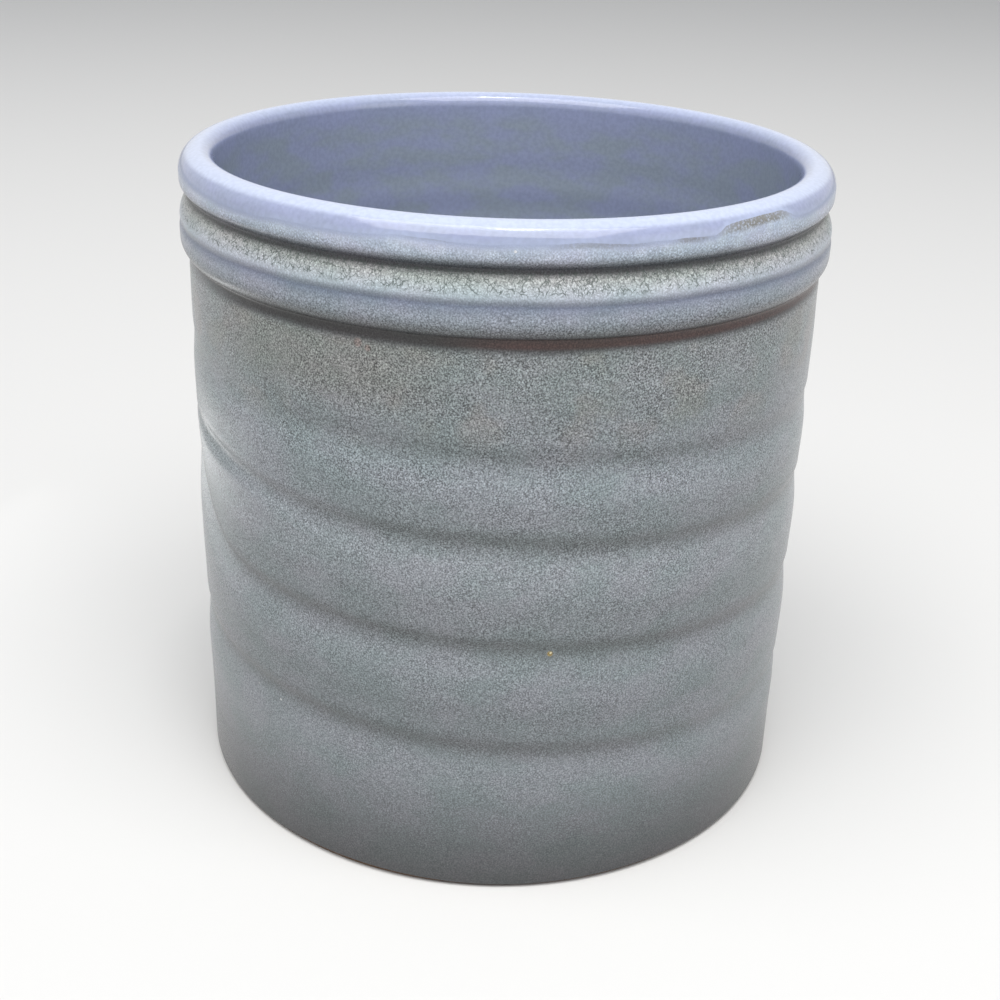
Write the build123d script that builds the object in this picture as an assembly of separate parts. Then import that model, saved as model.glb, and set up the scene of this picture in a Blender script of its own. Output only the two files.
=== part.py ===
from build123d import *
import math
import os

# A straight-sided stoneware utensil crock, thrown on a wheel.
# It is one fired clay body under two coats of glass. The smooth liner glaze covers the
# inside, the lip and the top of the rim, down to its lap line on the rim's face. The
# crackled outer glaze goes from that line down to the bare foot, over groove, band and wall.
# The axis is Z, the foot stands on Z = 0, the front is -Y, and lengths are millimetres.
# Every radius and height is that of the finished surface, over the glaze.

# Overall form
height = 169.4
body_radius = 80.8
base_flare = 1.1
wall_thickness = 7.4
floor_thickness = 9.0
floor_corner_radius = 10.0
glaze_thickness = 0.6

# Rolled rim
rim_overhang = 1.6
rim_height = 9.8
rim_roll_radius = 5.2
rim_edge_radius = 0.6
lap_drop = 3.6

# V groove and the band under the rim
groove_depth = 2.0
groove_width = 0.5
band_overhang = 1.85
band_height = 15.6
band_shoulder_height = 8.1
band_edge_radius = 4.2
undercut_depth = 0.4
undercut_height = 3.0

# Throwing rings: the wall swells to a crest above each ring line and steps in below it.
# The shares are the line's height in the crock, and its depth in the deepest ring.
ring_depth = 0.7
ring_step = 7.0
ring_height_shares = (0.697, 0.571, 0.407, 0.248)
ring_depth_shares = (0.5, 0.85, 1.0, 0.6)
plain_foot_height = 20.0

# Bare foot
foot_bevel = 0.8
foot_ring_width = 8.0
foot_recess_depth = 2.5
foot_recess_slope = 2.0
bare_foot_height = 1.0

# How far a cutting shape runs past what it cuts
overrun = 4.0

# Places that follow from the sizes above
inner_radius = body_radius - wall_thickness
rim_radius = body_radius + rim_overhang
crest_radius = rim_radius - rim_roll_radius
groove_radius = rim_radius - groove_depth
band_radius = body_radius + band_overhang
base_radius = body_radius + base_flare
lap_level = height - lap_drop
groove_level = height - rim_height
groove_foot = groove_level - groove_width
band_crest = groove_foot - band_shoulder_height
band_foot = groove_level - band_height
wall_top = band_foot - undercut_height


def wall_radius(level):
    """The wall's mean radius, which widens evenly down to the foot."""
    return body_radius + base_flare * (1 - level / wall_top)


def rim_lines(skin):
    """The rolled rim, from the inner wall over the crest and down into the groove.

    A skin is the depth under the finished surface: none for the glaze's own surface, and
    the glaze's thickness for the clay under it. The same goes for the outlines below.
    """
    rim = rim_radius - skin
    inner_roll = crest_radius - inner_radius
    inside = CenterArc((crest_radius, height - inner_roll), inner_roll - skin, 180, -90)
    outside = CenterArc((crest_radius, height - rim_roll_radius), rim_roll_radius - skin, 90, -90)
    edge_radius = rim_edge_radius + glaze_thickness
    edge_middle = (rim_radius - edge_radius, groove_level + 2 * edge_radius)
    edge = CenterArc(edge_middle, edge_radius - skin, 0, -60)
    return [
        inside,
        outside,
        Line(outside @ 1, edge @ 0),
        edge,
        Line(edge @ 1, (groove_radius - skin, groove_level)),
    ]


def band_lines(skin):
    """The band, from the groove over its shoulder and round its lower edge to the wall."""
    band = band_radius - skin
    groove = groove_radius - skin
    neck = body_radius - undercut_depth - skin
    shoulder = TangentArc((band, band_crest), (groove, groove_foot), tangent=(0, 1))
    edge_middle = (band_radius - band_edge_radius, band_foot + band_edge_radius)
    edge_radius = band_edge_radius - skin
    turn = math.degrees(math.acos((neck - edge_middle[0]) / edge_radius))
    edge = CenterArc(edge_middle, edge_radius, 0, -turn)
    return [
        Line((groove, groove_level), (groove, groove_foot)),
        shoulder,
        Line((band, band_crest), edge @ 0),
        edge,
        Line(edge @ 1, (neck, band_foot)),
        Line((neck, band_foot), (body_radius - skin, wall_top)),
    ]


def wall_points(skin):
    """The wall's crests and hollows, from under the band down to the foot."""
    points = [(body_radius - skin, wall_top)]
    for height_share, depth_share in zip(ring_height_shares, ring_depth_shares):
        line = height * height_share
        swing = ring_depth * depth_share / 2
        for side in (1, -1):
            level = line + side * ring_step / 2
            points.append((wall_radius(level) + side * swing - skin, level))
    points.append((wall_radius(plain_foot_height) - skin, plain_foot_height))
    points.append((base_radius - skin, 0))
    return points


def inside_lines(skin):
    """The floor and the inner wall, from the axis up to the rolled rim."""
    inner = inner_radius + skin
    floor = floor_thickness - skin
    corner = CenterArc(
        (inner_radius - floor_corner_radius, floor_thickness + floor_corner_radius),
        floor_corner_radius + skin,
        270,
        90,
    )
    roll_foot = height - (crest_radius - inner_radius)
    return [
        Line((0, floor), corner @ 0),
        corner,
        Line(corner @ 1, (inner, roll_foot)),
    ]


def vessel_section(skin):
    """Half of the upright crock cut down its axis, as radius and height, on a flat base."""
    base = Polyline((base_radius - skin, 0), (0, 0), (0, floor_thickness - skin))
    wall = Spline(*wall_points(skin))
    return make_face([base, wall] + inside_lines(skin) + rim_lines(skin) + band_lines(skin))


def window(low_radius, high_radius, low_level, high_level):
    """A rectangle of the half section."""
    corners = [
        (low_radius, low_level),
        (high_radius, low_level),
        (high_radius, high_level),
        (low_radius, high_level),
    ]
    return make_face(Polyline(*corners, close=True))


def turned(section):
    """Turn a half section, drawn as radius and height, about the crock's axis."""
    return revolve(Plane.XZ * section, Axis.Z)


def foot_cuts():
    """What is trimmed off under the foot: its outer edge, and the recess in its middle."""
    edge = base_radius - glaze_thickness
    bevel = [
        (edge - 2 * foot_bevel, -foot_bevel),
        (edge + foot_bevel, 2 * foot_bevel),
        (edge + foot_bevel, -foot_bevel),
    ]
    inside = base_radius - foot_ring_width
    recess = [
        (0, foot_recess_depth),
        (inside - foot_recess_slope, foot_recess_depth),
        (inside + foot_recess_slope, -foot_recess_depth),
        (0, -foot_recess_depth),
    ]
    return [make_face(Polyline(*corners, close=True)) for corners in (bevel, recess)]


def clay_body():
    """The fired clay: floor, wall, band, rim and foot in one piece."""
    section = vessel_section(glaze_thickness)
    for cut in foot_cuts():
        section = section - cut
    return turned(section)


def glaze_section():
    """The whole coat of glass, before it is parted at the lap line."""
    return vessel_section(0) - vessel_section(glaze_thickness)


def liner_glaze():
    """The liner's coat: floor, inner wall, lip and the rim down to the lap line."""
    inside = window(0, crest_radius, floor_thickness / 2, height + overrun)
    over_rim = window(crest_radius, rim_radius + overrun, lap_level, height + overrun)
    return turned(glaze_section() & (inside + over_rim))


def outer_glaze():
    """The outer coat: from the lap line on the rim's face down to the bare foot."""
    outside = window(crest_radius, band_radius + overrun, bare_foot_height, lap_level)
    return turned(glaze_section() & outside)


def main():
    os.makedirs("parts", exist_ok=True)
    for piece in (clay_body, liner_glaze, outer_glaze):
        export_step(piece(), f"parts/{piece.__name__}.step")


main()
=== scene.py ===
import math

import bmesh
import bpy
import numpy as np
from mathutils import Matrix, Vector


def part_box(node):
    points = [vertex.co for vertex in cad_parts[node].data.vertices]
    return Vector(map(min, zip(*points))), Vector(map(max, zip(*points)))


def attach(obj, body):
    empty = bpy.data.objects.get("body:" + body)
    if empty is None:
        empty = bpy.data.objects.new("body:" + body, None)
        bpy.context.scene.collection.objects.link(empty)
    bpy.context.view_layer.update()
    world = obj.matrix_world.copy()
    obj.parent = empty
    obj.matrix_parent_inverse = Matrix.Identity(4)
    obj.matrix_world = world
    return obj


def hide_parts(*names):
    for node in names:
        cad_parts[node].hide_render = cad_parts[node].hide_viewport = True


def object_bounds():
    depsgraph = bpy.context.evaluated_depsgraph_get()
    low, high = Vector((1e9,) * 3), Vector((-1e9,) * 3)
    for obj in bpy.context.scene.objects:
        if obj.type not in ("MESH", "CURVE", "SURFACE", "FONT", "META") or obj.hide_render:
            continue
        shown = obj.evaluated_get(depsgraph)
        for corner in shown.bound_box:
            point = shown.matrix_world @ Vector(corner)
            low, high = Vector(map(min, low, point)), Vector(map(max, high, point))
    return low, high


# A wheel-thrown stoneware utensil crock: one clay body under two coats of glass.
# Lengths are metres. The axis is Z, the foot stands on Z = 0 and the front is -Y.
# Turns are degrees round the axis, 0 at the front and positive towards +X.

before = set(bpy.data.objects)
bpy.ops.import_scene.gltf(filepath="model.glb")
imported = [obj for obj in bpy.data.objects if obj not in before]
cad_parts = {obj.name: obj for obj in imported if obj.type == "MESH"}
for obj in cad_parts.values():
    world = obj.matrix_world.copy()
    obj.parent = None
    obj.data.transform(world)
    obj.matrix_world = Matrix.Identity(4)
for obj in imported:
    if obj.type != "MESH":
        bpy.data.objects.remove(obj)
cad_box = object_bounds()

# Main sizes, taken from the solids
height = cad_box[1].z
rim_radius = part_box("liner_glaze")[1].x
band_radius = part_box("outer_glaze")[1].x

# The section's own sizes, the same as in the solids
body_radius = 0.0808
base_flare = 0.0011
inner_radius = 0.0734
floor_level = 0.009
floor_corner_radius = 0.010
coat_thickness = 0.0006
rim_height = 0.0098
rim_roll_radius = 0.0052
rim_edge_radius = 0.0012
rim_edge_turn = 60
groove_depth = 0.0020
groove_width = 0.0005
band_height = 0.0156
band_shoulder_height = 0.0081
band_edge_radius = 0.0042
undercut_depth = 0.0004
undercut_height = 0.0030
foot_ring_width = 0.0080
foot_recess_depth = 0.0025
foot_recess_slope = 0.0020
foot_bevel = 0.0008
bare_foot_height = 0.0010

# Places that follow from these sizes
crest_radius = rim_radius - rim_roll_radius
groove_radius = rim_radius - groove_depth
groove_level = height - rim_height
groove_foot = groove_level - groove_width
band_crest = groove_foot - band_shoulder_height
band_foot = groove_level - band_height
wall_top = band_foot - undercut_height

# What the maker's hand left: a crease under the shoulder with a slight swell over it, and the
# spiral that the fingers pressed into the wall. A line of the spiral is a valley in the wall.
crease_height_share = 0.899
crease_level = height * crease_height_share
crease_width = 0.0009
crease_depth = 0.00030
shoulder_swell = 0.00014
shoulder_swell_level = crease_level + 3 * crease_width
shoulder_swell_width = 2 * crease_width
spiral_height_shares = (0.90, 0.692, 0.570, 0.411, 0.245, 0.06)
spiral_depth_shares = (0.0, 0.55, 0.85, 1.0, 0.8, 0.0)
spiral_depth = 0.00050
# The spiral fades out over this height under the band, and between these levels at the foot
spiral_top_fade = 0.012
spiral_foot_levels = (0.002, 0.022)
# Between two lines the wall swells. A swell is full where its lines are this far apart.
full_swell = 0.018
# Its form on the way down from one line to the next, in shares of that way: where it has
# risen, where it sinks slowly, where it drops, and where it can flare out before the drop.
# The slow part is the share of its height that it loses before the drop.
swell_risen_share = 0.42
swell_sink_shares = (0.50, 0.92)
swell_drop_shares = (0.90, 1.0)
swell_flare_shares = (0.70, 0.91, 0.91, 1.0)
slow_part_share = 0.30
# The lines are darker, partly where glass pools and partly as painted shade: how dark at each
# line, how far over the line it is darkest, and its half width. The underside of the swell
# above has painted shade too.
pool_shade_shares = (0.0, 0.7, 1.0, 1.0, 1.0, 0.0)
pool_shade_rise = 0.0004
pool_shade_width = 0.0028
eave_shade = 0.35
eave_shares = (0.45, 0.62, 0.85, 1.0)
# On the left two lines rise, which narrows the swell between them to a lens: line, turn,
# half width towards the front and towards the back, and rise
line_rises = (
    (2, -64.0, 22.0, 50.0, 0.0030),
    (3, -76.0, 12.5, 52.0, 0.0220),
)
# There the hand pressed differently. For each line: how much deeper and how much sharper it
# is, how much sooner the swell above it has risen, its flare, and how much shade stays.
press_turn = -52.0
press_width = 24.0
press_share = 0.8
press_gains = (0.0, -0.5, 0.3, 1.0, 0.4, 0.0)
press_sharps = (0.0, -1.2, 0.6, 0.6, 0.3, 0.0)
press_leads = (0.0, 0.0, 0.0, 0.24, 0.0, 0.0)
press_flares = (0.0, 0.0, 0.3, 0.0, 0.0, 0.0)
press_shades = (1.0, 0.5, 0.15, 0.8, 0.9, 1.0)
# On the right the shade of the lowest line fades between two turns
faint_line = 4
faint_share = 0.45
faint_turns = (5.0, 50.0)
# Faint throwing lines inside, and the levels where they start, are full, and end
inside_pitch = 0.0125
inside_depth = 0.00010
inside_levels = (0.020, 0.050, 0.140, 0.158)
# How far past the crest the outside's relief takes over from the inside's
crest_blend = 0.004

# Where the liner's edge runs on the rim: its mean level, and the bumps in its line as
# turn, half width and rise
lap_drop = 0.0042
lap_level = height - lap_drop
lap_bumps = (
    (-14, 7, 0.0008),
    (13, 5, 0.0005),
    (26, 5, 0.0004),
    (43, 6, 0.0003),
    (72, 14, 0.0007),
    (128, 18, 0.0009),
    (196, 22, -0.0008),
    (262, 15, 0.0010),
    (318, 9, -0.0006),
)
# It steps up and down again on the front right: turn, half width and rise
lap_steps = (
    (34.0, 1.6, 0.0021),
    (50.0, 2.6, -0.0021),
)
# Its ripples: waves round the axis, start in degrees and height
lap_ripples = (
    (9, 40, 0.00018),
    (17, 0, 0.00012),
    (38, 15, 0.00007),
    (67, 70, 0.00005),
)
# How far along the section the mesh takes up the line's bumps
lap_reach = 0.0045
# Where the glass under that edge is thin: turn, half width, lowest and highest level, how
# much the lowest level climbs with each degree, and how strongly it shows
thin_places = (
    (42, 8.5, height - 0.0041, height, 0.00006, 1.0),
    (28.5, 2.6, height - 0.0050, height - 0.0030, 0.0, 0.75),
    (14, 6.5, height - 0.0050, height - 0.0034, 0.0, 0.50),
    (-11, 3.5, height - 0.0042, height - 0.0026, 0.0, 0.40),
    (128, 10.0, height - 0.0040, height, 0.0, 0.9),
    (262, 6.0, height - 0.0040, height, 0.0, 0.8),
)
# The height over which such a place begins and ends
thin_edge = 0.0004

# The foot: the outer coat's wavy end, as waves round the axis and start in degrees, the
# rounding of the ring's edges, and the trimming rings in the recess
foot_wave = 0.0003
foot_ripples = ((3, 20), (7, 80))
bevel_top_share = 1.05
bevel_middle_share = 0.35
recess_rounding = 0.0006
recess_lip_in = 0.0002
recess_lip_up = 0.0005
recess_corner_drop = 0.0004
recess_ripple = 0.00012
recess_pitch = 0.0036
# The clay's wall ends at this level, and the foot's own outline goes on from there
foot_top = 2 * foot_bevel

# Mesh fineness: the steps round the axis, and how far apart the rings are round the rim and
# band, on the walls, on the flat floor, in the recess, and where the coats hide them outside
# and inside
steps_round = 320
fine_row = 0.00040
wall_row = 0.00130
floor_row = 0.0040
recess_row = 0.0008
hidden_row = 0.00117
hidden_inside_row = 0.0035
# How far the fine rings reach inside the crest and under the band
fine_inside = 0.010
fine_under_band = 0.002
# The drawn section: how close its points are, the fewest on an arc, and how far the melted
# glass rounds its corners
outline_gap = fine_row / 4
fewest_arc_points = 4
soften = 0.00035
# A ring this close to the axis is one point, and a crease sharper than this angle stays sharp
axis_tolerance = 1e-7
sharp_angle = 40


def smooth(value, low, high):
    """0 below low, 1 above high, and an even curve between them."""
    share = np.clip((value - low) / (high - low), 0.0, 1.0)
    return share * share * (3 - 2 * share)


def window(value, low, low_full, high_full, high):
    """1 between two limits, fading to 0 outside them."""
    return smooth(value, low, low_full) * (1 - smooth(value, high_full, high))


def hump(value, middle, half_width):
    """A bell curve of height 1."""
    return np.exp(-(((value - middle) / half_width) ** 2))


def turn_gap(turn, middle):
    """The signed difference of two turns, from -180 to 180 degrees."""
    return (turn - middle + 180.0) % 360.0 - 180.0


def levels_over(base, *rises):
    """Levels that lie so far over a base level, or under it."""
    return tuple(base + rise for rise in rises)


def arc_points(middle, radius, start, end):
    """Points on an arc of the section, with angles in degrees from the outward direction."""
    length = abs(math.radians(end - start)) * radius
    angles = np.radians(np.linspace(start, end, max(fewest_arc_points, int(length / outline_gap))))
    return np.stack([middle[0] + radius * np.cos(angles), middle[1] + radius * np.sin(angles)], -1)


def inside_outline():
    """The finished surface from the middle of the floor up to the rim's crest."""
    inner_roll = crest_radius - inner_radius
    corner = (inner_radius - floor_corner_radius, floor_level + floor_corner_radius)
    return np.concatenate([
        [(0.0, floor_level)],
        arc_points(corner, floor_corner_radius, -90, 0),
        arc_points((crest_radius, height - inner_roll), inner_roll, 180, 90),
    ])


def rim_outline():
    """The finished surface from the crest over the rolled rim and into the groove."""
    edge = (rim_radius - rim_edge_radius, groove_level + 2 * rim_edge_radius)
    return np.concatenate([
        arc_points((crest_radius, height - rim_roll_radius), rim_roll_radius, 90, 0),
        arc_points(edge, rim_edge_radius, 0, -rim_edge_turn),
        [(groove_radius, groove_level), (groove_radius, groove_foot)],
    ])


def band_outline():
    """The finished surface from the groove over the shoulder and round the band."""
    out, down = band_radius - groove_radius, groove_foot - band_crest
    shoulder_radius = (out**2 + down**2) / (2 * out)
    start = math.degrees(math.asin(down / shoulder_radius))
    edge = (band_radius - band_edge_radius, band_foot + band_edge_radius)
    neck = body_radius - undercut_depth
    turn = math.degrees(math.acos((neck - edge[0]) / band_edge_radius))
    return np.concatenate([
        arc_points((band_radius - shoulder_radius, band_crest), shoulder_radius, start, 0),
        arc_points(edge, band_edge_radius, 0, -turn),
        [(neck, band_foot), (body_radius, wall_top)],
    ])


def evenly(points, gap):
    """The same line with points an even gap apart."""
    lengths = np.concatenate([[0], np.cumsum(np.hypot(*np.diff(points, axis=0).T))])
    places = np.linspace(0, lengths[-1], int(lengths[-1] / gap) + 1)
    return np.stack([np.interp(places, lengths, column) for column in points.T], -1)


def softened(points, gap, width):
    """The line with its corners rounded, as melted glass rounds them."""
    reach = int(3 * width / gap)
    weights = np.exp(-0.5 * (np.arange(-reach, reach + 1) * gap / width) ** 2)
    weights = weights / weights.sum()
    first, last = points[0], points[-1]
    before = 2 * first - points[reach:0:-1]
    after = 2 * last - points[-2:-reach - 2:-1]
    padded = np.concatenate([before, points, after])
    return np.stack([np.convolve(column, weights, "valid") for column in padded.T], -1)


class Section:
    """The crock's finished surface as one line, from the floor's middle to the foot."""

    def __init__(self):
        base = (body_radius + base_flare, 0.0)
        outline = np.concatenate([inside_outline(), rim_outline(), band_outline(), [base]])
        self.points = softened(evenly(outline, outline_gap), outline_gap, soften)
        self.lengths = np.arange(len(self.points)) * outline_gap
        along = np.gradient(self.points, axis=0)
        normals = np.stack([-along[:, 1], along[:, 0]], -1)
        self.normals = normals / np.linalg.norm(normals, axis=1)[:, None]
        self.crest = self.lengths[np.argmax(self.points[:, 1])]

    def place(self, level):
        """How far along the line, on the outside, a level lies."""
        outside = self.lengths > self.crest
        levels = self.points[outside, 1]
        return float(np.interp(-level, -levels, self.lengths[outside]))

    def at(self, length):
        """Radius, level and the outward normal's two parts at a length along the line."""
        values = np.concatenate([self.points, self.normals], axis=1)
        return [np.interp(length, self.lengths, column) for column in values.T]


section = Section()
turns = np.arange(steps_round) * 360.0 / steps_round
fine_start = section.place(height) - fine_inside
fine_end = section.place(wall_top - fine_under_band)
floor_end = inner_radius - floor_corner_radius - floor_row


def ripple(waves, start):
    """A sine with so many waves round the axis, at each step."""
    return np.sin(np.radians(turns * waves + start))


def spiral_levels(turn):
    """The level of each line of the spiral at a turn. A line sinks by one place each time round."""
    heights = height * np.array(spiral_height_shares)
    numbers = np.arange(len(heights))
    lean = turn_gap(turn, 0.0) / 360.0
    lines = [np.interp(number + lean, numbers, heights) for number in numbers]
    for number, middle, front_width, back_width, rise in line_rises:
        gap = turn_gap(turn, middle)
        width = np.where(gap > 0, front_width, back_width)
        lines[number] = lines[number] + rise * hump(gap, 0.0, width)
    return lines


def swell_form(share, line, press):
    """How far the swell above a line stands out, from -1 to 1, at a share of its way down."""
    risen = swell_risen_share - press_leads[line] * press / press_share
    slow = slow_part_share * (1 - press * press_sharps[line])
    sink = slow * smooth(share, *swell_sink_shares) + (1 - slow) * smooth(share, *swell_drop_shares)
    flare = press_flares[line] * press * window(share, *swell_flare_shares)
    return 2 * (smooth(share, 0.0, risen) - sink) - 1 + flare


def line_shade(line, turn, press):
    """How dark the glass is along a line of the spiral at a turn."""
    lean = turn_gap(turn, 0.0)
    dark = np.interp(line + lean / 360.0, np.arange(len(pool_shade_shares)), pool_shade_shares)
    dark = dark * (1 - (1 - press_shades[line]) * press / press_share)
    if line == faint_line:
        dark = dark * (1 - faint_share * smooth(lean, *faint_turns))
    return dark


def spiral(turn, level):
    """How far the spiral moves the wall out, and how much its lines darken, partly as painted shade."""
    relief, shade = 0.0, 0.0
    lines = spiral_levels(turn)
    numbers = np.arange(len(lines))
    press = press_share * hump(turn_gap(turn, press_turn), 0.0, press_width)
    lean = turn_gap(turn, 0.0) / 360.0
    for number, (top, foot) in enumerate(zip(lines, lines[1:])):
        inside = (level <= top) & (level > foot)
        share = np.clip((top - level) / (top - foot), 0.0, 1.0)
        size = np.clip((top - foot) / full_swell, 0.0, 1.0)
        depth = np.interp(number + share + lean, numbers, spiral_depth_shares)
        gain = press * np.interp(number + share, numbers, press_gains)
        swell = swell_form(share, number + 1, press)
        relief = np.where(inside, depth * size * (1 + gain) * swell, relief)
        # The lines darken where glass pools and as painted shade, with painted shade under each swell
        top_pool_shade = hump(level - top, pool_shade_rise, pool_shade_width)
        foot_pool_shade = hump(level - foot, pool_shade_rise, pool_shade_width)
        eave_painted_shade = eave_shade * window(share, *eave_shares)
        above = line_shade(number, turn, press) * top_pool_shade
        below = line_shade(number + 1, turn, press) * (foot_pool_shade + eave_painted_shade)
        shade = np.where(inside, np.clip(above + below, 0.0, 1.0), shade)
    return spiral_depth * relief, shade


def outside_relief(turn, level):
    """Everything that the hand did to the outside, as a change of radius."""
    wall = window(level, *spiral_foot_levels, wall_top - spiral_top_fade, wall_top)
    rings, _ = spiral(turn, level)
    crease = -crease_depth * hump(level, crease_level, crease_width)
    swell = shoulder_swell * hump(level, shoulder_swell_level, shoulder_swell_width)
    return wall * rings + crease + swell


def inside_relief(turn, level):
    """The faint throwing lines of the inner wall."""
    wave = np.sin(2 * math.pi * (level / inside_pitch + turn / 360.0))
    return inside_depth * window(level, *inside_levels) * wave


def lap_shift():
    """How far the lap line lies above its mean level, at each step round the axis."""
    lean = turn_gap(turns, 0.0)
    bumps = sum(rise * hump(turn_gap(turns, turn), 0.0, width) for turn, width, rise in lap_bumps)
    steps = sum(rise * smooth(lean, turn - width, turn + width) for turn, width, rise in lap_steps)
    ripples = sum(rise * ripple(waves, start) for waves, start, rise in lap_ripples)
    return bumps + ripples + steps


def thin_share(turn, level):
    """Where the glass under the lap line is so thin that the clay browns it."""
    total = 0.0
    for middle, width, low, high, climb, strong in thin_places:
        gap = turn_gap(turn, middle)
        foot = low + climb * gap
        along = strong * np.exp(-((gap / width) ** 4))
        total = total + along * window(level, foot, foot + thin_edge, high - thin_edge, high)
    return np.clip(total, 0.0, 1.0)


def row_gap(length):
    """How far apart the rings are at a length along the section."""
    if length < floor_end:
        return floor_row
    return fine_row if fine_start < length < fine_end else wall_row


def rows_between(start, end):
    """Lengths along the section from start to end, close together round the rim and band."""
    marks = [start]
    while marks[-1] < end:
        marks.append(marks[-1] + row_gap(marks[-1]))
    marks = np.array(marks)
    return start + (marks - start) * (end - start) / (marks[-1] - start)


def shifted_rows(start, end, shift_at_start, shift_at_end):
    """Rows whose first or last ring follows a wavy edge, which fades out along the section."""
    rows = rows_between(start, end)[:, None]
    near_start = 1 - smooth(rows - start, 0.0, lap_reach)
    near_end = 1 - smooth(end - rows, 0.0, lap_reach)
    return rows + near_start * shift_at_start + near_end * shift_at_end


def hidden_rows(rows):
    """A coarser choice of rows, for the clay and for the side of a coat that lies on it."""
    lengths = rows[:, 0]
    keep = [0]
    for index in range(1, len(rows) - 1):
        gap = hidden_inside_row if lengths[index] < fine_start else hidden_row
        if lengths[index] - lengths[keep[-1]] >= gap:
            keep.append(index)
    return rows[keep + [len(rows) - 1]]


def surface(rows, depth):
    """Radii and levels of rings some depth under the finished surface, and its own levels."""
    radius, level, out, up = section.at(rows)
    turn = np.broadcast_to(turns, level.shape)
    outside = smooth(rows, section.crest, section.crest + crest_blend)
    change = outside * outside_relief(turn, level) + (1 - outside) * inside_relief(turn, level)
    return radius + change - out * depth, level - up * depth, level


def joined(first, second):
    """Two groups of arrays made one: each array with its match in the other group after it."""
    return [np.concatenate(pair) for pair in zip(first, second)]


def lathe(name, radii, levels, closed, marks=None):
    """A piece made of rings, one row of the arrays each. A ring on the axis is one point.

    The marks are named values for the material, one for each point of the rings.
    """
    angles = np.radians(turns)
    verts, rings = [], []
    for ring_radii, ring_levels in zip(radii, levels):
        start = len(verts)
        if ring_radii.max() < axis_tolerance:
            verts.append((0.0, 0.0, float(ring_levels[0])))
            rings.append([start] * steps_round)
            continue
        x, y = ring_radii * np.sin(angles), -ring_radii * np.cos(angles)
        verts.extend(zip(x.tolist(), y.tolist(), ring_levels.tolist()))
        rings.append(list(range(start, start + steps_round)))
    pairs = list(zip(rings, rings[1:]))
    if closed:
        pairs.append((rings[-1], rings[0]))
    faces = []
    for low, high in pairs:
        for step in range(steps_round):
            after = (step + 1) % steps_round
            corners = (low[step], low[after], high[after], high[step])
            faces.append(tuple(dict.fromkeys(corners)))
    mesh = bpy.data.meshes.new(name)
    mesh.from_pydata(verts, [], faces)
    work = bmesh.new()
    work.from_mesh(mesh)
    bmesh.ops.recalc_face_normals(work, faces=work.faces)
    work.to_mesh(mesh)
    work.free()
    for mark, values in (marks or {}).items():
        layer = mesh.attributes.new(mark, "FLOAT", "POINT")
        points = [row[:len(set(ring))] for row, ring in zip(values, rings)]
        layer.data.foreach_set("value", np.concatenate(points).astype(np.float32))
    mesh.shade_smooth()
    mesh.set_sharp_from_angle(angle=math.radians(sharp_angle))
    piece = bpy.data.objects.new(name, mesh)
    bpy.context.scene.collection.objects.link(piece)
    return piece


def build_liner():
    """The liner glaze, from the middle of the floor over the rim to its lap line."""
    rows = shifted_rows(0.0, section.place(lap_level), 0.0, -lap_shift())
    back_rows = hidden_rows(rows)[::-1]
    radii, levels, _ = joined(surface(rows, 0.0), surface(back_rows, coat_thickness))
    radii[0] = 0.0
    radii[-1] = 0.0
    marks = {"from_lap": rows[-1] - np.concatenate([rows, back_rows])}
    return lathe("liner_coat", radii, levels, False, marks)


def build_outer():
    """The outer glaze, from the lap line down to the bare foot."""
    waves = [ripple(*shape) for shape in foot_ripples]
    wave = foot_wave * sum(waves) / len(waves)
    start, end = section.place(lap_level), section.place(bare_foot_height)
    rows = shifted_rows(start, end, -lap_shift(), wave - foot_wave)
    back_rows = hidden_rows(rows)[::-1]
    radii, levels, finished = joined(surface(rows, 0.0), surface(back_rows, coat_thickness))
    turn = np.broadcast_to(turns, finished.shape)
    # The spiral's darker lines: partly pooling glass, partly painted shade
    _, pool_and_shade = spiral(turn, finished)
    marks = {
        "pool_and_shade": pool_and_shade,
        "thin": thin_share(turn, finished),
        "from_lap": np.concatenate([rows, back_rows]) - rows[0],
    }
    return lathe("outer_coat", radii, levels, True, marks)


def foot_outline():
    """The bare foot ring from its outer edge inwards, and the trimmed recess to its middle."""
    edge = body_radius + base_flare - coat_thickness
    inside = body_radius + base_flare - foot_ring_width
    corner = inside - foot_recess_slope
    inner = corner - recess_rounding
    ring = [
        (edge, foot_bevel * bevel_top_share),
        (edge - foot_bevel * bevel_middle_share, foot_bevel * bevel_middle_share),
        (edge - foot_bevel, 0.0),
        (inside + recess_rounding, 0.0),
        (inside - recess_lip_in, recess_lip_up),
        (corner, foot_recess_depth - recess_corner_drop),
        (inner, foot_recess_depth),
    ]
    radii = np.linspace(inner, 0.0, int(inner / recess_row))[1:]
    levels = foot_recess_depth + recess_ripple * np.sin(2 * math.pi * radii / recess_pitch)
    return np.concatenate([ring, np.stack([radii, levels], -1)])


def build_clay():
    """The clay under both coats, with its bare foot ring and the recess inside it."""
    lengths = rows_between(0.0, section.place(foot_top))
    rows = hidden_rows(np.repeat(lengths[:, None], steps_round, axis=1))
    foot = [np.repeat(column[:, None], steps_round, axis=1) for column in foot_outline().T]
    radii, levels = joined(surface(rows, coat_thickness), foot)
    radii[0] = 0.0
    return lathe("clay_pot", radii, levels, False)


# The sockets of a Mix node that mixes colours: its share, its two colours and its result
mix_share, mix_first, mix_second, mix_result = 0, 6, 7, 2

# A fleck fades out at this many times its radius
fleck_fade = 2.2
# A cell between cracks is taller than wide: its width is this share of its height
cell_width_share = 0.65
# Cells are made wavy by a shift that changes about this many times across a cell
shifts_per_cell = 1.6
# Grains are soft blobs and sharper pebbles together: the blobs' share, the limits of what
# shows of each, and how many pebbles go across a grain
blob_share = 0.65
blob_limits = (0.34, 0.74)
pebble_limits = (-0.05, 0.38)
pebbles_per_grain = 0.6


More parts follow.
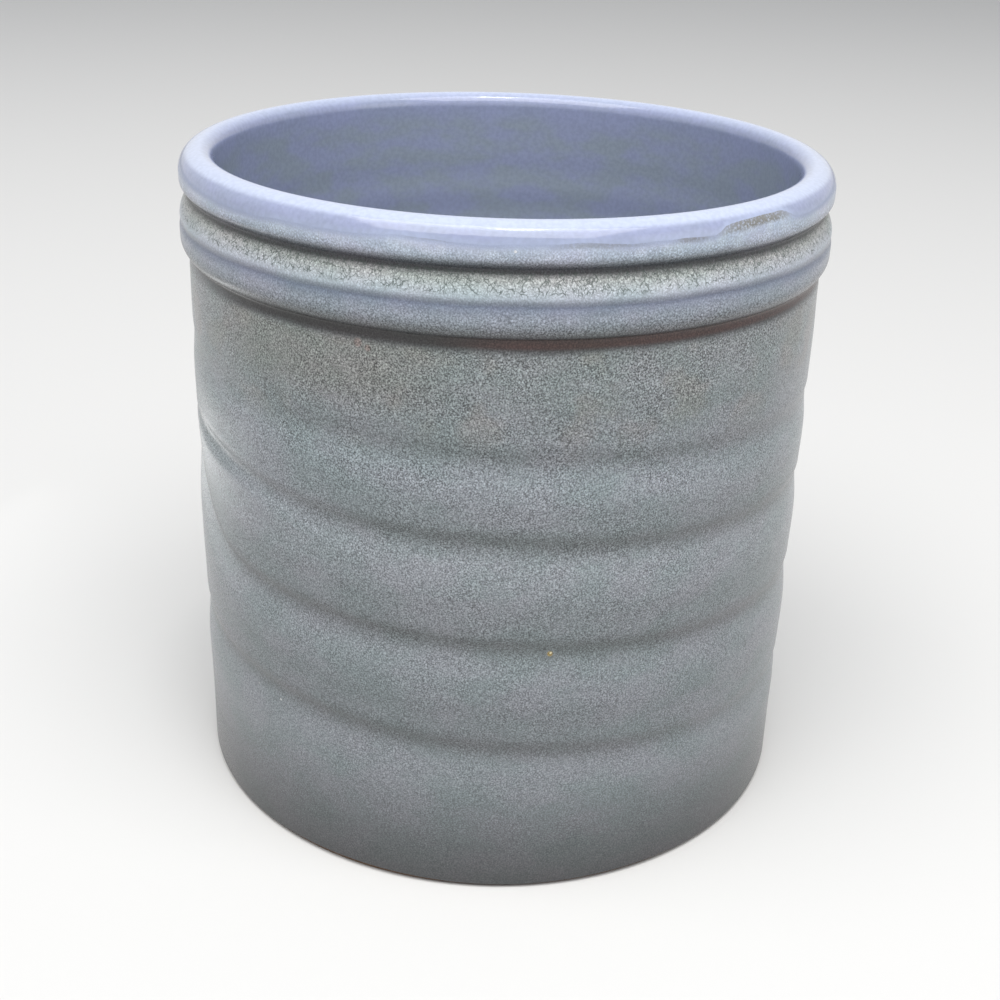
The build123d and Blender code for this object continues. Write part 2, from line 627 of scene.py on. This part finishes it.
class Nodes:
    """Short ways to make and join the nodes of one material."""

    def __init__(self, name):
        self.material = bpy.data.materials.new(name)
        self.material.use_nodes = True
        self.tree = self.material.node_tree
        self.tree.nodes.clear()
        self.place = self.add("ShaderNodeTexCoord").outputs["Object"]
        parts = self.add("ShaderNodeSeparateXYZ", {0: self.place})
        self.level = parts.outputs["Z"]
        turned = self.math("ARCTAN2", parts.outputs["X"], self.times(parts.outputs["Y"], -1.0))
        self.turn = self.times(turned, 180.0 / math.pi)

    def add(self, kind, inputs=None, **settings):
        """A node of a kind, with its settings and what goes into its sockets."""
        node = self.tree.nodes.new(kind)
        for key, value in settings.items():
            setattr(node, key, value)
        for key, value in (inputs or {}).items():
            self.feed(node.inputs[key], value)
        return node

    def feed(self, socket, value):
        """Join a socket to another node's output, or give it a value. None leaves it alone."""
        if isinstance(value, bpy.types.NodeSocket):
            self.tree.links.new(value, socket)
        elif value is not None:
            socket.default_value = value

    def math(self, operation, first, second=None, third=None):
        """One step of arithmetic."""
        inputs = {0: first, 1: second, 2: third}
        return self.add("ShaderNodeMath", inputs, operation=operation).outputs[0]

    def times(self, first, *others):
        """The product of two or more values."""
        for other in others:
            first = self.math("MULTIPLY", first, other)
        return first

    def span(self, value, low, high, start=0.0, end=1.0):
        """The start value below low, the end value above high, and an even curve between."""
        inputs = {"Value": value, "From Min": low, "From Max": high, "To Min": start, "To Max": end}
        return self.add("ShaderNodeMapRange", inputs, interpolation_type="SMOOTHSTEP").outputs[0]

    def window(self, value, low, low_full, high_full, high):
        """1 between two limits, fading to 0 outside them."""
        return self.times(self.span(value, low, low_full), self.span(value, high_full, high, 1.0, 0.0))

    def stretched(self, stretch):
        """The place, with each of its coordinates times a number."""
        inputs = {0: self.place, 1: stretch}
        return self.add("ShaderNodeVectorMath", inputs, operation="MULTIPLY").outputs[0]

    def noise(self, size, detail=2.0, rough=0.5, stretch=(1.0, 1.0, 1.0)):
        """Clouds of a size, from 0 to 1."""
        place = self.stretched(stretch)
        inputs = {"Vector": place, "Scale": 1.0 / size, "Detail": detail, "Roughness": rough}
        return self.add("ShaderNodeTexNoise", inputs).outputs["Fac"]

    def mix(self, share, first, second, how="MIX"):
        """The second colour laid on the first, as far as the share says."""
        inputs = {mix_share: share, mix_first: first, mix_second: second}
        node = self.add("ShaderNodeMix", inputs, data_type="RGBA", blend_type=how)
        return node.outputs[mix_result]

    def ramp(self, value, stops):
        """A colour ramp from (place, colour) stops, with places from 0 to 1."""
        node = self.add("ShaderNodeValToRGB", {0: value})
        ramp = node.color_ramp
        while len(ramp.elements) < len(stops):
            ramp.elements.new(0.5)
        for element, (spot, colour) in zip(ramp.elements, stops):
            element.position = spot
            element.color = (*colour, 1.0)
        return node.outputs[0]

    def by_height(self, level, stops):
        """A colour ramp up the crock from (level, colour) stops."""
        shares = [(low / height, colour) for low, colour in stops]
        return self.ramp(self.math("DIVIDE", level, height), shares)

    def radius(self):
        """The distance from the crock's axis."""
        flat = self.stretched((1.0, 1.0, 0.0))
        return self.add("ShaderNodeVectorMath", {0: flat}, operation="LENGTH").outputs["Value"]

    def mark(self, name):
        """A named value that the mesh carries."""
        return self.add("ShaderNodeAttribute", attribute_name=name).outputs["Fac"]

    def wavering(self, place, size, warp):
        """A place, shifted to and fro so that cells of this size lose their straight edges."""
        inputs = {"Vector": place, "Scale": shifts_per_cell / size, "Detail": 1.0}
        shift = self.add("ShaderNodeTexNoise", inputs)
        inputs = {0: shift.outputs["Color"], 1: (size * warp,) * 3, 2: place}
        return self.add("ShaderNodeVectorMath", inputs, operation="MULTIPLY_ADD").outputs[0]

    def cell_edges(self, place, size, warp, scale):
        """How far a point is from the nearest edge between wavy cells, in cells."""
        inputs = {"Vector": self.wavering(place, size, warp), "Scale": scale}
        return self.add("ShaderNodeTexVoronoi", inputs, feature="DISTANCE_TO_EDGE").outputs["Distance"]

    def cracks(self, size, warp, edge):
        """A net of thin cracks round cells of a size: 1 in a crack and 0 past its edge."""
        place = self.stretched((1.0, 1.0, cell_width_share))
        return self.span(self.cell_edges(place, size, warp, 1.0 / size), 0.0, edge, 1.0, 0.0)

    def grains(self, size):
        """Fine irregular grains: 1 in the pale ones and 0 in the gaps between them."""
        blobs = self.span(self.noise(size, rough=0.6), *blob_limits)
        edges = self.cell_edges(self.place, size, 1.0, pebbles_per_grain / size)
        pebbles = self.span(edges, *pebble_limits)
        return self.math("ADD", self.times(blobs, blob_share), self.times(pebbles, 1 - blob_share))

    def spot(self, turn, level, radius):
        """1 within a small round mark at a turn and level, fading to 0 round it."""
        along = self.times(self.math("SUBTRACT", self.turn, turn), math.radians(body_radius))
        up = self.math("SUBTRACT", self.level, level)
        away = self.add("ShaderNodeCombineXYZ", {0: along, 1: up}).outputs[0]
        away = self.add("ShaderNodeVectorMath", {0: away}, operation="LENGTH").outputs["Value"]
        return self.span(away, radius, radius * fleck_fade, 1.0, 0.0)

    def scale(self, colour, factor):
        """A colour made lighter or darker by a factor."""
        grey = self.add("ShaderNodeCombineXYZ", {0: factor, 1: factor, 2: factor}).outputs[0]
        return self.mix(1.0, colour, grey, "MULTIPLY")

    def bump(self, value, distance, strength=1.0):
        """A normal tilted by small bumps, as high as the distance where the value is 1."""
        inputs = {"Height": value, "Distance": distance, "Strength": strength}
        return self.add("ShaderNodeBump", inputs).outputs[0]

    def finish(self, inputs):
        """The material, with a shader that has these inputs."""
        shader = self.add("ShaderNodeBsdfPrincipled", inputs)
        self.add("ShaderNodeOutputMaterial", {"Surface": shader.outputs[0]})
        return self.material


# In what follows, limits are the two values of a texture between which something starts to
# show, and a span adds what the material gets below the first and above the second.

# Both glasses run into each other along the lap line and are paler there, over this width
lap_tone = (0.400, 0.455, 0.620, 1)
lap_tone_width = 0.0016

# The liner: the two tones of its clouds inside and on the rim, the levels where the one pair
# passes into the other, and its clouds, its stipple and its slight lumps
liner_inside_tones = ((0.322, 0.370, 0.432, 1), (0.330, 0.366, 0.508, 1))
liner_rim_tones = ((0.325, 0.365, 0.505, 1), (0.340, 0.375, 0.545, 1))
liner_rim_levels = levels_over(height, -0.0094, -0.0044)
liner_cloud_size = 0.014
liner_cloud_limits = (0.36, 0.64)
liner_stipple_size = 0.0011
liner_stipple_span = (0.30, 0.70, 1.10, 1.00)
liner_lump_size = 0.0025
liner_lump_height = 0.00003
# It is whiter on the lip: the levels and the radii over which that grows, and its least share
lip_tone = (0.515, 0.570, 0.725, 1)
lip_levels = levels_over(height, -0.0018, -0.0008)
lip_radii = (inner_radius + 0.0008, inner_radius + 0.0038)
lip_least_share = 0.35

# The outer glass by height, from the foot to the lap line: level, red, green, blue, and how
# strongly the grains show there. Its dark levels at the foot, in the crease, in the undercut
# and in the groove are partly glass that pools there and partly painted shade
outer_colours_and_painted_shade = (
    (0.002, 0.098, 0.100, 0.102, 0.40),
    (0.012, 0.152, 0.163, 0.167, 0.42),
    (0.030, 0.303, 0.331, 0.345, 0.52),
    (0.060, 0.314, 0.343, 0.358, 0.64),
    (0.090, 0.358, 0.389, 0.406, 0.68),
    (0.115, 0.357, 0.396, 0.416, 0.74),
    (0.1408, 0.340, 0.371, 0.369, 0.88),
    (0.1426, 0.060, 0.058, 0.058, 0.50),
    (0.1446, 0.050, 0.048, 0.047, 0.50),
    (0.1465, 0.280, 0.297, 0.310, 0.80),
    (0.1498, 0.412, 0.450, 0.518, 0.52),
    (0.1523, 0.196, 0.226, 0.300, 0.28),
    (0.1543, 0.560, 0.615, 0.665, 0.30),
    (0.1576, 0.505, 0.522, 0.494, 0.60),
    (0.1590, 0.032, 0.033, 0.040, 0.50),
    (0.1599, 0.095, 0.098, 0.110, 0.60),
    (0.1612, 0.385, 0.412, 0.462, 0.58),
    (0.1632, 0.585, 0.645, 0.765, 0.36),
    (0.1646, 0.565, 0.625, 0.765, 0.26),
)
# These levels wander up and down a little round the wall
wander_size = 0.015
wander_height = 0.0010

# Patches of another tone in the outer glass, each over the one before. A patch has the turns
# and the levels where it starts, is full, is still full, and ends, then its mottle as size,
# detail, and the limits of what shows, and then its strength and tone. None is all round, or
# no mottle.
patches = (
    # The reddish line under the band, from the front to the back on the right
    (
        (-14.0, 4.0, 150.0, 175.0),
        levels_over(band_foot, -0.0020, -0.0008, 0.0002, 0.0014),
        None,
        0.8,
        (0.102, 0.056, 0.048, 1),
    ),
    # A painted highlight: the undercut on the left made paler
    (
        (-110.0, -85.0, -72.0, -40.0),
        levels_over(wall_top, -0.0010, 0.0005, 0.0022, 0.0032),
        None,
        0.6,
        (0.330, 0.355, 0.360, 1),
    ),
    # Pale clouds on the rim's face
    (
        None,
        levels_over(groove_level, 0.0014, 0.0034, 0.0104, 0.0114),
        (0.0035, 3.0, 0.42, 0.62),
        0.5,
        (0.700, 0.760, 0.860, 1),
    ),
    # Warm clouds on the top of the wall
    (
        None,
        levels_over(wall_top, -0.0290, -0.0110, -0.0005, 0.0015),
        (0.013, 2.0, 0.52, 0.68),
        0.30,
        (0.400, 0.345, 0.290, 1),
    ),
    # A sallow place there on the left
    (
        (-62.0, -42.0, -20.0, -4.0),
        levels_over(wall_top, -0.0190, -0.0070, -0.0005, 0.0015),
        None,
        0.6,
        (0.335, 0.338, 0.300, 1),
    ),
)

# Single marks in the outer glass: turn, level, radius, colour. The golden fleck's pale core
# and the white marks are painted glints
flecks_and_glints = (
    (9.5, 0.0680, 0.00040, (0.42, 0.30, 0.09, 1)),
    (9.6, 0.0682, 0.00018, (0.95, 0.86, 0.55, 1)),
    (-53.2, 0.1261, 0.00016, (0.80, 0.82, 0.82, 1)),
    (-40.8, 0.0410, 0.00020, (0.75, 0.77, 0.76, 1)),
    (-47.2, 0.0416, 0.00015, (0.75, 0.77, 0.76, 1)),
    (1.5, 0.1640, 0.00018, (0.95, 0.97, 1.00, 1)),
    (-22.5, 0.1411, 0.00060, (0.34, 0.285, 0.265, 1)),
    (-20.8, 0.1402, 0.00045, (0.34, 0.290, 0.265, 1)),
    (141.0, 0.0930, 0.00035, (0.45, 0.33, 0.12, 1)),
    (-157.0, 0.0520, 0.00020, (0.78, 0.80, 0.80, 1)),
)

# Tints that the outer glass's colour is multiplied by: along the spiral's lines, where it pools
# and is painted with shade, and in its clouds
plain_tint = (1, 1, 1, 1)
pool_and_shade_tint = (0.68, 0.67, 0.655, 1)
cloud_tints = ((0.90, 0.965, 0.955, 1), (1.07, 1.035, 1.075, 1))
outer_cloud_size = 0.017
outer_cloud_limits = (0.28, 0.72)
# Its tone where it is thin under the lap line, and the mottle there
thin_tone = (0.235, 0.235, 0.225, 1)
thin_mottle_size = 0.0006
thin_mottle_span = (0.32, 0.52, 0.35, 1.0)

# Its grains: their size, height and bump strength, the places where they show more or less,
# how far from the lap line they are weaker and their share on it, how much they change the
# colour, and its mean gain
grain_size = 0.00038
grain_height = 0.00005
grain_bump_strength = 0.6
grain_place_size = 0.009
grain_place_span = (0.3, 0.7, 0.85, 1.12)
grain_lap_width = 0.0022
grain_lap_share = 0.2
grain_contrast = 2.08
mean_gain = 1.04

# The cracks on the shoulder: their levels, tone and strength, and a wide and a fine net as
# the size of its cells, its warp, the width of a crack in cells, and the size and the limits
# of the places where it shows
crack_levels = levels_over(groove_foot, -0.0051, -0.0039, -0.0005, 0.0007)
crack_tone = (0.060, 0.085, 0.075, 1)
crack_strength = 0.85
crack_nets = (
    (0.0017, 0.6, 0.065, 0.0015, 0.34, 0.50),
    (0.0010, 0.7, 0.10, 0.0018, 0.46, 0.62),
)

# The clay: the tones and size of its clouds, and its grit
clay_tones = ((0.13, 0.075, 0.042, 1), (0.24, 0.15, 0.09, 1))
clay_cloud_size = 0.006
grit_tone = (0.05, 0.03, 0.02, 1)
grit_size = 0.0006
grit_span = (0.55, 0.75, 0.0, 0.6)
grit_height = 0.0001
grit_bump_strength = 0.7


def with_lap_tone(nodes, colour):
    """A glass's colour, with the paler tone next to the lap line."""
    near = nodes.span(nodes.mark("from_lap"), 0.0, lap_tone_width, 1.0, 0.0)
    return nodes.mix(near, colour, lap_tone)


def liner_glass():
    """A smooth lavender-grey glass that shines, whiter over the lip, with a faint mottle."""
    nodes = Nodes("liner_glass")
    clouds = nodes.noise(liner_cloud_size, detail=3.0, stretch=(1.0, 1.0, 2.2))
    clouds = nodes.span(clouds, *liner_cloud_limits)
    inside = nodes.mix(clouds, *liner_inside_tones)
    on_rim = nodes.mix(clouds, *liner_rim_tones)
    colour = nodes.mix(nodes.span(nodes.level, *liner_rim_levels), inside, on_rim)
    colour = with_lap_tone(nodes, colour)
    outwards = nodes.span(nodes.radius(), *lip_radii, lip_least_share, 1.0)
    lip = nodes.times(nodes.span(nodes.level, *lip_levels), outwards)
    colour = nodes.mix(lip, colour, lip_tone)
    stipple = nodes.span(nodes.noise(liner_stipple_size, detail=1.0), *liner_stipple_span)
    return nodes.finish({
        "Base Color": nodes.scale(colour, stipple),
        "Roughness": 0.12,
        "IOR": 1.52,
        "Normal": nodes.bump(nodes.noise(liner_lump_size), liner_lump_height),
    })


def outer_colour(nodes):
    """Outer glass colour: by height, patches, pooling glass and painted shade, clouds, specks, painted
    glints.
    """
    wander = nodes.math("SUBTRACT", nodes.noise(wander_size), 0.5)
    level = nodes.math("MULTIPLY_ADD", wander, wander_height, nodes.level)
    # Its darkest levels, at the foot, crease, undercut and groove, are partly painted shade
    colour = nodes.by_height(level, [(low, colour[:3]) for low, *colour in outer_colours_and_painted_shade])
    for turn_limits, level_limits, mottle, strength, tone in patches:
        share = nodes.times(nodes.window(nodes.level, *level_limits), strength)
        if turn_limits:
            share = nodes.times(share, nodes.window(nodes.turn, *turn_limits))
        if mottle:
            size, detail, *shown = mottle
            share = nodes.times(share, nodes.span(nodes.noise(size, detail), *shown))
        colour = nodes.mix(share, colour, tone)
    # Darker along the spiral's lines: partly pooling glass, partly painted shade
    pool_and_shade = nodes.mix(nodes.mark("pool_and_shade"), plain_tint, pool_and_shade_tint)
    colour = nodes.mix(1.0, colour, pool_and_shade, "MULTIPLY")
    clouds = nodes.noise(outer_cloud_size, detail=3.0, rough=0.55, stretch=(1.0, 1.0, 1.8))
    tint = nodes.mix(nodes.span(clouds, *outer_cloud_limits), *cloud_tints)
    colour = nodes.mix(1.0, colour, tint, "MULTIPLY")
    colour = with_lap_tone(nodes, colour)
    thin = nodes.span(nodes.noise(thin_mottle_size), *thin_mottle_span)
    colour = nodes.mix(nodes.times(nodes.mark("thin"), thin), colour, thin_tone)
    # Flecks, with painted glints where they are white or pale
    for turn, level, radius, tone in flecks_and_glints:
        colour = nodes.mix(nodes.spot(turn, level, radius), colour, tone)
    return colour


def shoulder_cracks(nodes):
    """How strongly a crack shows on the shoulder."""
    nets = []
    for size, warp, edge, place_size, *shown in crack_nets:
        place = nodes.span(nodes.noise(place_size), *shown)
        nets.append(nodes.times(nodes.cracks(size, warp, edge), place))
    shoulder = nodes.window(nodes.level, *crack_levels)
    return nodes.times(nodes.math("MAXIMUM", *nets), shoulder, crack_strength)


def outer_glass():
    """The crackled glass: pale grains with dark gaps, and a net of cracks on the shoulder."""
    nodes = Nodes("outer_glass")
    by_level = nodes.by_height(nodes.level, [(low, (strong,) * 3) for low, *_, strong in outer_colours_and_painted_shade])
    by_place = nodes.span(nodes.noise(grain_place_size), *grain_place_span)
    by_lap = nodes.span(nodes.mark("from_lap"), 0.0, grain_lap_width, grain_lap_share, 1.0)
    strength = nodes.times(by_level, by_place, by_lap)
    grains = nodes.grains(grain_size)
    contrast = nodes.times(nodes.math("SUBTRACT", grains, 0.5), strength)
    factor = nodes.math("MULTIPLY_ADD", contrast, grain_contrast, mean_gain)
    colour = nodes.scale(outer_colour(nodes), factor)
    return nodes.finish({
        "Base Color": nodes.mix(shoulder_cracks(nodes), colour, crack_tone),
        "Roughness": 0.24,
        "IOR": 1.5,
        "Normal": nodes.bump(grains, grain_height, grain_bump_strength),
    })


def bare_clay():
    """Fired brown stoneware with fine grit."""
    nodes = Nodes("bare_clay")
    clouds = nodes.mix(nodes.noise(clay_cloud_size, detail=4.0), *clay_tones)
    grit = nodes.noise(grit_size)
    return nodes.finish({
        "Base Color": nodes.mix(nodes.span(grit, *grit_span), clouds, grit_tone),
        "Roughness": 0.85,
        "Normal": nodes.bump(grit, grit_height, grit_bump_strength),
    })


def dress(piece, node, material):
    """Let a piece stand for a solid, ride with it and wear its material."""
    piece.data.materials.append(material)
    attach(piece, "root")
    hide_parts(node)


# The surroundings: the tones that light the crock, and the paler ones that the camera and
# the crock's reflections see
floor_tone = (0.36, 0.34, 0.33, 1)
floor_seen_tone = (0.78, 0.77, 0.75, 1)
surround_tone = (0.34, 0.355, 0.38, 1)
surround_seen_tone = (0.80, 0.79, 0.77, 1)
floor_reach = 4.0
floor_corners = 96


def pale_for_lookers(tree, plain, pale):
    """A colour that the camera and reflections see pale, while it lights the scene plainly."""
    path = tree.nodes.new("ShaderNodeLightPath")
    seen = path.outputs["Is Camera Ray"]
    for ray in ("Is Glossy Ray", "Is Transmission Ray"):
        either = tree.nodes.new("ShaderNodeMath")
        either.operation = "MAXIMUM"
        tree.links.new(seen, either.inputs[0])
        tree.links.new(path.outputs[ray], either.inputs[1])
        seen = either.outputs[0]
    mix = tree.nodes.new("ShaderNodeMix")
    mix.data_type = "RGBA"
    mix.inputs[mix_first].default_value = plain
    mix.inputs[mix_second].default_value = pale
    tree.links.new(seen, mix.inputs[mix_share])
    return mix.outputs[mix_result]


def build_floor():
    """A plain pale floor that keeps the crock's shadow."""
    angles = [2 * math.pi * step / floor_corners for step in range(floor_corners)]
    corners = [(floor_reach * math.cos(angle), floor_reach * math.sin(angle), 0.0) for angle in angles]
    mesh = bpy.data.meshes.new("floor")
    mesh.from_pydata(corners, [], [tuple(range(floor_corners))])
    floor = bpy.data.objects.new("floor", mesh)
    bpy.context.scene.collection.objects.link(floor)
    nodes = Nodes("floor")
    colour = pale_for_lookers(nodes.tree, floor_tone, floor_seen_tone)
    mesh.materials.append(nodes.finish({"Base Color": colour, "Roughness": 0.9}))


def add_lamp(name, place, aim, size, watts, only_shine=False):
    """A rectangular soft lamp. One that is only for shine gives highlights but no other light."""
    lamp = bpy.data.lights.new(name, "AREA")
    lamp.shape = "RECTANGLE"
    lamp.size, lamp.size_y = size
    lamp.energy = watts
    stand = bpy.data.objects.new(name, lamp)
    stand.visible_camera = False
    stand.visible_diffuse = not only_shine
    stand.location = place
    stand.rotation_euler = (Vector(aim) - Vector(place)).to_track_quat("-Z", "Y").to_euler()
    bpy.context.scene.collection.objects.link(stand)


def light_scene():
    """Soft light from above and in front, with an even pale surround."""
    world = bpy.data.worlds.new("surround")
    bpy.context.scene.world = world
    world.use_nodes = True
    tree = world.node_tree
    colour = pale_for_lookers(tree, surround_tone, surround_seen_tone)
    tree.links.new(colour, tree.nodes["Background"].inputs["Color"])
    add_lamp("broad_lamp", place=(-0.11, -0.80, 2.10), aim=(0, 0, 0.08), size=(2.6, 1.8), watts=55.5)
    add_lamp("small_lamp", place=(0.10, -0.30, 2.0), aim=(0, 0, 0.1), size=(0.30, 0.05), watts=3.5)
    add_lamp("right_lamp", place=(0.75, -0.45, 0.50), aim=(0, 0, 0.09), size=(0.5, 0.5), watts=0.75)
    add_lamp(
        "left_card",
        place=(-0.212, 0.075, 0.018),
        aim=(0, 0, 0.018),
        size=(0.16, 0.026),
        watts=0.020,
        only_shine=True,
    )


def place_camera():
    """The photograph's own view: its height, distance, lens and slight roll."""
    lens, sensor = 50.76, 36.0
    distance, elevation = 0.3979, math.radians(24.74)
    pivot = 0.07425
    yaw, pitch, roll = math.radians(-0.11), math.radians(-0.63), math.radians(1.76)
    data = bpy.data.cameras.new("camera")
    data.lens, data.sensor_width = lens, sensor
    data.clip_start = 0.01
    camera = bpy.data.objects.new("camera", data)
    place = (0.0, -distance * math.cos(elevation), pivot + distance * math.sin(elevation))
    camera.matrix_world = (
        Matrix.Translation(place)
        @ Matrix.Rotation(math.pi / 2 - elevation, 4, "X")
        @ Matrix.Rotation(yaw, 4, "Y")
        @ Matrix.Rotation(pitch, 4, "X")
        @ Matrix.Rotation(roll, 4, "Z")
    )
    bpy.context.scene.collection.objects.link(camera)
    bpy.context.scene.camera = camera


def main():
    dress(build_clay(), "clay_body", bare_clay())
    dress(build_liner(), "liner_glaze", liner_glass())
    dress(build_outer(), "outer_glaze", outer_glass())
    build_floor()
    light_scene()
    place_camera()
    bpy.context.scene.view_settings.view_transform = "Standard"


main()
